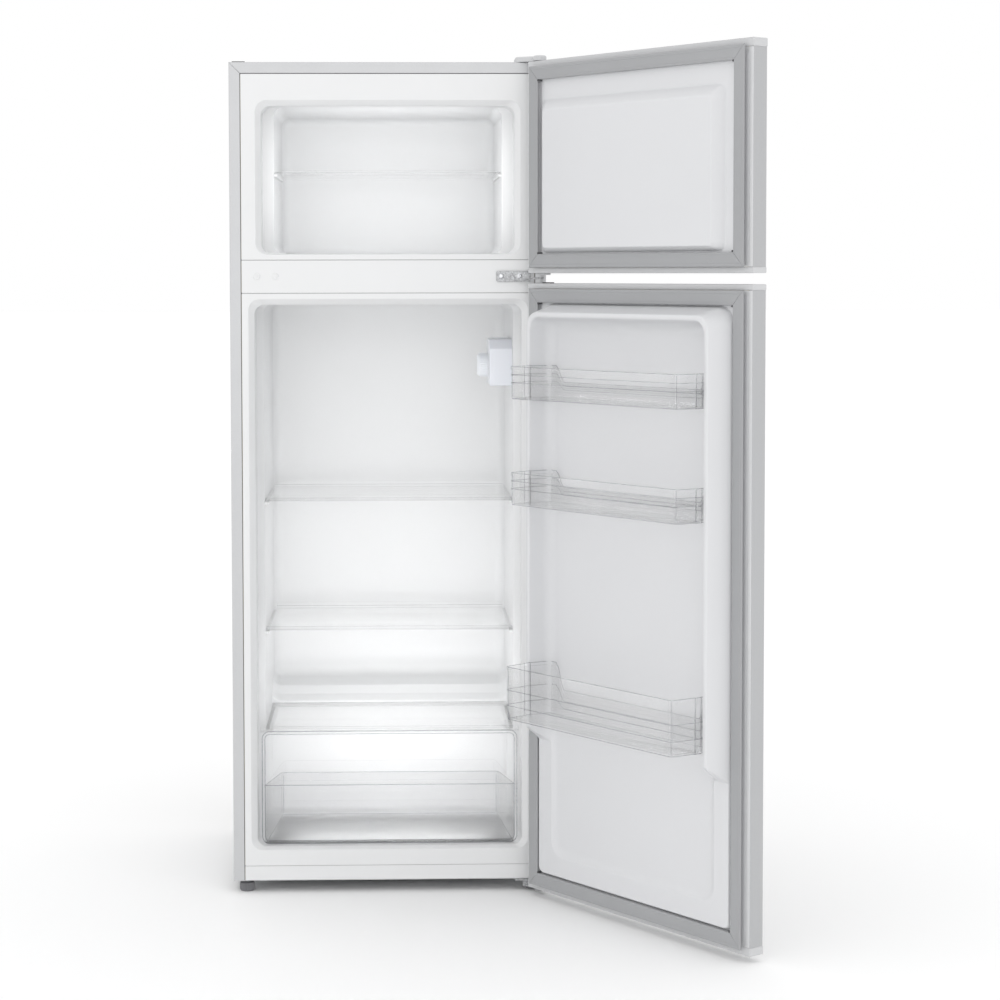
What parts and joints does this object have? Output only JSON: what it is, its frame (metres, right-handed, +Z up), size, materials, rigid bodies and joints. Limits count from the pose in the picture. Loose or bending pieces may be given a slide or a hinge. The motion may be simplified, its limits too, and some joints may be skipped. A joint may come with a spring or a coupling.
{
  "type": "top freezer refrigerator",
  "caption": "Free-standing two-door refrigerator with the freezer above, doors open on right-hand hinges, with glass shelves, a crisper drawer, door bins and a rear wire condenser.",
  "frame": {"origin": "on the floor, under the middle of the cabinet's front face", "axes": "+X to the cabinet's right as seen from the front, +Y towards the wall behind it, +Z up"},
  "size_m": [0.8568, 0.9766, 1.449],
  "materials": {
    "painted_steel": "satin light silver-grey paint",
    "back_sheet": "plain coated back sheet",
    "galvanised": "galvanised steel sheet",
    "foam": "rigid polyurethane foam",
    "liner_white": "vacuum-formed white liner, semi-gloss",
    "aluminium_plate": "plain rolled",
    "zinc": "zinc-plated pressing",
    "zinc_screws": "zinc-plated",
    "cap_grey": "moulded, fine grain",
    "dark_plastic": "moulded",
    "foot_grey": "moulded, ribbed",
    "gasket_grey": "soft magnetic door seal",
    "mount_rubber": "soft rubber",
    "clear_plastic": "clear moulded plastic",
    "shelf_glass": "toughened glass",
    "control_white": "moulded",
    "lens": "translucent",
    "bulb_glass": "frosted",
    "black_steel": "black enamel",
    "copper": "drawn copper"
  },
  "bodies": {
    "cabinet": {"back_panel": "back_sheet", "base_plate": "galvanised", "cabinet_foam": "foam", "cabinet_shell": "painted_steel", "compressor": "black_steel", "compressor_mounts": "mount_rubber", "compressor_tray": "galvanised", "condenser_brackets": "dark_plastic", "condenser_tube": "black_steel", "condenser_wires": "black_steel", "control_box": "control_white", "drain_tube": "dark_plastic", "drip_tray": "dark_plastic", "evaporator_plate": "aluminium_plate", "filter_drier": "copper", "freezer_liner": "liner_white", "fridge_liner": "liner_white", "front_sill": "liner_white", "hinge_bottom": "zinc", "hinge_cover": "cap_grey", "hinge_middle": "zinc", "hinge_screws": "zinc_screws", "hinge_top": "zinc", "hole_plugs": "liner_white", "lamp_bulb": "bulb_glass", "lamp_lens": "lens", "mullion_cover": "liner_white", "pipes": "copper", "rear_feet": "foot_grey", "relay_box": "dark_plastic", "top_hole_cover": "dark_plastic"},
    "freezer_door": {"freezer_door_bushes": "cap_grey", "freezer_door_cap_bottom": "cap_grey", "freezer_door_cap_top": "cap_grey", "freezer_door_foam": "foam", "freezer_door_gasket": "gasket_grey", "freezer_door_liner": "liner_white", "freezer_door_skin": "painted_steel"},
    "fridge_door": {"fridge_door_bushes": "cap_grey", "fridge_door_cap_bottom": "cap_grey", "fridge_door_cap_top": "cap_grey", "fridge_door_foam": "foam", "fridge_door_gasket": "gasket_grey", "fridge_door_liner": "liner_white", "fridge_door_skin": "painted_steel", "stop_plate": "dark_plastic"},
    "bin_top_body": {"bin_top": "clear_plastic"},
    "bin_middle_body": {"bin_middle": "clear_plastic"},
    "bin_bottle_body": {"bin_bottle": "clear_plastic"},
    "freezer_shelf_body": {"freezer_shelf": "clear_plastic"},
    "shelf_lower": {"shelf_lower_glass": "shelf_glass", "shelf_lower_trim": "clear_plastic"},
    "shelf_upper": {"shelf_upper_glass": "shelf_glass", "shelf_upper_trim": "clear_plastic"},
    "crisper_cover": {"crisper_cover_glass": "shelf_glass", "crisper_cover_trim": "clear_plastic"},
    "crisper": {"crisper_drawer": "clear_plastic"},
    "knob": {"control_knob": "control_white"},
    "left_foot": {"foot_left": "foot_grey"},
    "right_foot": {"foot_right": "foot_grey"}
  },
  "joints": [
    {"name": "freezer_door_hinge", "type": "hinge", "parent": "cabinet", "child": "freezer_door", "pos_m": [0.26, -0.025, 1.44], "axis": [0, 0, 1], "range_deg": [-126, 9]},
    {"name": "fridge_door_hinge", "type": "hinge", "parent": "cabinet", "child": "fridge_door", "pos_m": [0.26, -0.025, 1.0692], "axis": [0, 0, 1], "range_deg": [-126, 9]},
    {"name": "bin_top_lift", "type": "slide", "parent": "fridge_door", "child": "bin_top_body", "axis": [0, 0, 1], "range_m": [0, 0.03]},
    {"name": "bin_middle_lift", "type": "slide", "parent": "fridge_door", "child": "bin_middle_body", "axis": [0, 0, 1], "range_m": [0, 0.03]},
    {"name": "bin_bottle_lift", "type": "slide", "parent": "fridge_door", "child": "bin_bottle_body", "axis": [0, 0, 1], "range_m": [0, 0.03]},
    {"name": "freezer_shelf_slide", "type": "slide", "parent": "cabinet", "child": "freezer_shelf_body", "axis": [0, -1, 0], "range_m": [0, 0.2]},
    {"name": "shelf_lower_slide", "type": "slide", "parent": "cabinet", "child": "shelf_lower", "axis": [0, -1, 0], "range_m": [0, 0.22]},
    {"name": "shelf_upper_slide", "type": "slide", "parent": "cabinet", "child": "shelf_upper", "axis": [0, -1, 0], "range_m": [0, 0.22]},
    {"name": "crisper_cover_lift", "type": "slide", "parent": "cabinet", "child": "crisper_cover", "axis": [0, 0, 1], "range_m": [0, 0.03]},
    {"name": "crisper_slide", "type": "slide", "parent": "cabinet", "child": "crisper", "axis": [0, -1, 0], "range_m": [0, 0.2]},
    {"name": "knob_turn", "type": "hinge", "parent": "cabinet", "child": "knob", "pos_m": [0.179, 0.201, 0.912], "axis": [1, 0, 0], "range_deg": [-135, 135]},
    {"name": "left_foot_screw", "type": "hinge", "parent": "cabinet", "child": "left_foot", "pos_m": [-0.25, 0.016, 0.02], "axis": [0, 0, 1], "continuous": true},
    {"name": "right_foot_screw", "type": "hinge", "parent": "cabinet", "child": "right_foot", "pos_m": [0.25, 0.016, 0.02], "axis": [0, 0, 1], "continuous": true}
  ]
}
